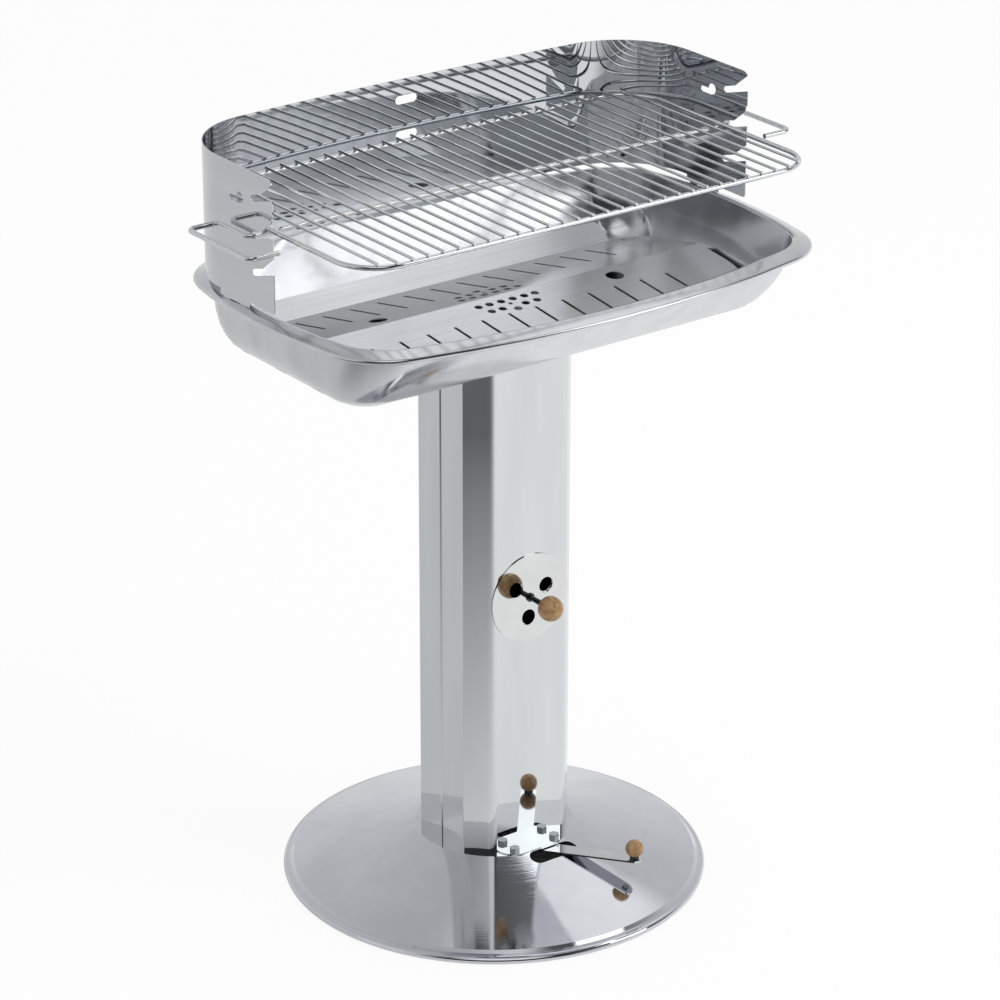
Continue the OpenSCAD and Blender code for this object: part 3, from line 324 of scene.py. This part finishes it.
dark = add(tree, "ShaderNodeMath", {"operation": "MULTIPLY"}, {0: in_dark, 1: far}).outputs[0]
lit = add(tree, "ShaderNodeMath", {"operation": "SUBTRACT", 0: 1.0}, {1: dark}).outputs[0]
# Painted light seen only by glossy rays: the paper's glow, brighter front right, with painted shade in the
# dark patch.
mirrored = add(tree, "ShaderNodeMath", {"operation": "MULTIPLY"}, {0: shade, 1: lit}).outputs[0]
mirrored = add(tree, "ShaderNodeMath", {"operation": "MULTIPLY"},
               {0: mirrored, 1: rays.outputs["Is Glossy Ray"]}).outputs[0]
outside = add(tree, "ShaderNodeMath", {"operation": "GREATER_THAN", 1: SHADOW_R}, {0: reach}).outputs[0]
direct = add(tree, "ShaderNodeMath", {"operation": "MAXIMUM"},
             {0: rays.outputs["Is Camera Ray"], 1: rays.outputs["Is Transmission Ray"]}).outputs[0]
direct = add(tree, "ShaderNodeMath", {"operation": "MULTIPLY"}, {0: direct, 1: outside}).outputs[0]
glow = add(tree, "ShaderNodeMath", {"operation": "ADD"}, {0: direct, 1: mirrored}).outputs[0]
light = add(tree, "ShaderNodeEmission", {"Color": (1, 1, 1, 1)}, {"Strength": glow})
glossy_out = add(tree, "ShaderNodeMath", {"operation": "MULTIPLY"},
                 {0: rays.outputs["Is Glossy Ray"], 1: outside}).outputs[0]
any_seen = add(tree, "ShaderNodeMath", {"operation": "MAXIMUM"}, {0: direct, 1: glossy_out}).outputs[0]
paper_share = add(tree, "ShaderNodeMapRange", {"To Min": 1.0, "To Max": SHADOW_SHARE}, {"Value": any_seen})
both = add(tree, "ShaderNodeMixShader", {}, {"Fac": paper_share.outputs[0], 1: light.outputs[0],
                                            2: shader.outputs[0]})
tree.links.new(both.outputs[0], tree.nodes["Material Output"].inputs["Surface"])
paper.materials.append(white_paper)


# Studio room: white for the camera. The metal sees pale walls behind the grill, darker towards the
# ceiling, a dim room in front with a doorway low on the right, and two banks of lamps, over the
# back right and over the front left. Places are parts of a unit direction from the grill.
FILL_LIGHT = 0.8
WALL_LOW = 0.8
WALL_HIGH = 0.52
CEILING_Z = 0.9
FRONT_EDGE_Y = -0.1
FRONT_FULL_Y = -0.5
GLOOM = 0.04
DOORWAY_LIGHT = 0.5
DOORWAY_FULL_X = 0.4
DOORWAY_FULL_Z = 0.06
DOORWAY_TOP_Z = 0.2
CEILING_BANK = (0.46, 0.33, 0.824)
CEILING_BANK_EDGE = 0.95
CEILING_BANK_CORE = 0.985
CEILING_BANK_LIGHT = 0.45
LEFT_BANK = (-0.3, -0.5, 0.812)
LEFT_BANK_EDGE = 0.9
LEFT_BANK_CORE = 0.97
world = bpy.data.worlds.new("studio")
bpy.context.scene.world = world
world.use_nodes = True
tree = world.node_tree
tree.nodes.clear()
rays = add(tree, "ShaderNodeLightPath")
place = add(tree, "ShaderNodeTexCoord").outputs["Generated"]
parts = add(tree, "ShaderNodeSeparateXYZ", {}, {0: place})
wall = add(tree, "ShaderNodeMapRange", {"From Max": CEILING_Z, "To Min": WALL_LOW, "To Max": WALL_HIGH},
           {"Value": parts.outputs["Z"]}).outputs[0]
front = add(tree, "ShaderNodeMapRange",
            {"interpolation_type": "SMOOTHSTEP", "From Min": FRONT_EDGE_Y, "From Max": FRONT_FULL_Y},
            {"Value": parts.outputs["Y"]}).outputs[0]
right = add(tree, "ShaderNodeMapRange", {"From Max": DOORWAY_FULL_X, "To Max": DOORWAY_LIGHT},
            {"Value": parts.outputs["X"]}).outputs[0]
low = add(tree, "ShaderNodeMapRange",
          {"From Min": DOORWAY_FULL_Z, "From Max": DOORWAY_TOP_Z, "To Min": 1.0, "To Max": 0.0},
          {"Value": parts.outputs["Z"]}).outputs[0]
doorway = add(tree, "ShaderNodeMath", {"operation": "MULTIPLY"}, {0: right, 1: low}).outputs[0]
toward_left = add(tree, "ShaderNodeVectorMath", {"operation": "DOT_PRODUCT", 1: LEFT_BANK}, {0: place})
left_bank = add(tree, "ShaderNodeMapRange",
                {"interpolation_type": "SMOOTHSTEP", "From Min": LEFT_BANK_EDGE,
                 "From Max": LEFT_BANK_CORE, "To Min": GLOOM},
                {"Value": toward_left.outputs["Value"]}).outputs[0]
gloom = add(tree, "ShaderNodeMath", {"operation": "ADD"}, {0: doorway, 1: left_bank}).outputs[0]
toward_bank = add(tree, "ShaderNodeVectorMath", {"operation": "DOT_PRODUCT", 1: CEILING_BANK}, {0: place})
bank = add(tree, "ShaderNodeMapRange",
           {"interpolation_type": "SMOOTHSTEP", "From Min": CEILING_BANK_EDGE,
            "From Max": CEILING_BANK_CORE, "To Max": CEILING_BANK_LIGHT},
           {"Value": toward_bank.outputs["Value"]}).outputs[0]
back = add(tree, "ShaderNodeMath", {"operation": "ADD"}, {0: wall, 1: bank}).outputs[0]
room = add(tree, "ShaderNodeMix", {"data_type": "FLOAT"},
           {"Factor": front, "A": back, "B": gloom}).outputs[0]
lit = add(tree, "ShaderNodeMix", {"data_type": "FLOAT", "A": FILL_LIGHT},
          {"Factor": rays.outputs["Is Glossy Ray"], "B": room}).outputs[0]
direct = add(tree, "ShaderNodeMath", {"operation": "MAXIMUM"},
             {0: rays.outputs["Is Camera Ray"], 1: rays.outputs["Is Transmission Ray"]}).outputs[0]
strength = add(tree, "ShaderNodeMath", {"operation": "MAXIMUM"}, {0: lit, 1: direct}).outputs[0]
sky = add(tree, "ShaderNodeBackground", {"Color": (1, 1, 1, 1)}, {"Strength": strength})
add(tree, "ShaderNodeOutputWorld", {}, {"Surface": sky.outputs[0]})


def softbox(name, place, aim, size, watts, mirrored):
    """A rectangular softbox at place, turned to aim; mirrored says whether metal shows it."""
    lamp = bpy.data.lights.new(name, "AREA")
    lamp.shape = "RECTANGLE"
    lamp.size, lamp.size_y = size
    lamp.energy = watts
    box = bpy.data.objects.new(name, lamp)
    box.location = place
    box.rotation_mode = "QUATERNION"
    box.rotation_quaternion = (Vector(aim) - Vector(place)).to_track_quat("-Z", "Y")
    box.visible_glossy = mirrored
    box.visible_camera = False
    bpy.context.scene.collection.objects.link(box)


softbox("front_softbox", place=(1.397, -1.62, 1.954), aim=(0.247, 0.33, 0.904), size=(0.95, 2.05),
        watts=11.5, mirrored=True)
softbox("key_softbox", place=(1.6, -2.2, 2.6), aim=(0, 0, 0.5), size=(1.2, 1.2),
        watts=12, mirrored=False)


# Camera: the photograph's place and lens, found by fitting the grill's outline. It stands front
# left of the grill, 4.5 m from the middle of the base, and looks down on it.
SENSOR_MM = 36.0
LENS_MM = 143.43
FAR_CLIP = 100.0
CAMERA_PLACE = (-2.33192, -3.16800, 2.13957)
CAMERA_DEGREES = (66.6181, -0.0849, -36.4071)
lens = bpy.data.cameras.new("camera")
lens.sensor_width = SENSOR_MM
lens.lens = LENS_MM
lens.clip_end = FAR_CLIP
camera = bpy.data.objects.new("camera", lens)
camera.location = CAMERA_PLACE
camera.rotation_euler = [math.radians(angle) for angle in CAMERA_DEGREES]
bpy.context.scene.collection.objects.link(camera)
bpy.context.scene.camera = camera
bpy.context.scene.view_settings.view_transform = "Standard"
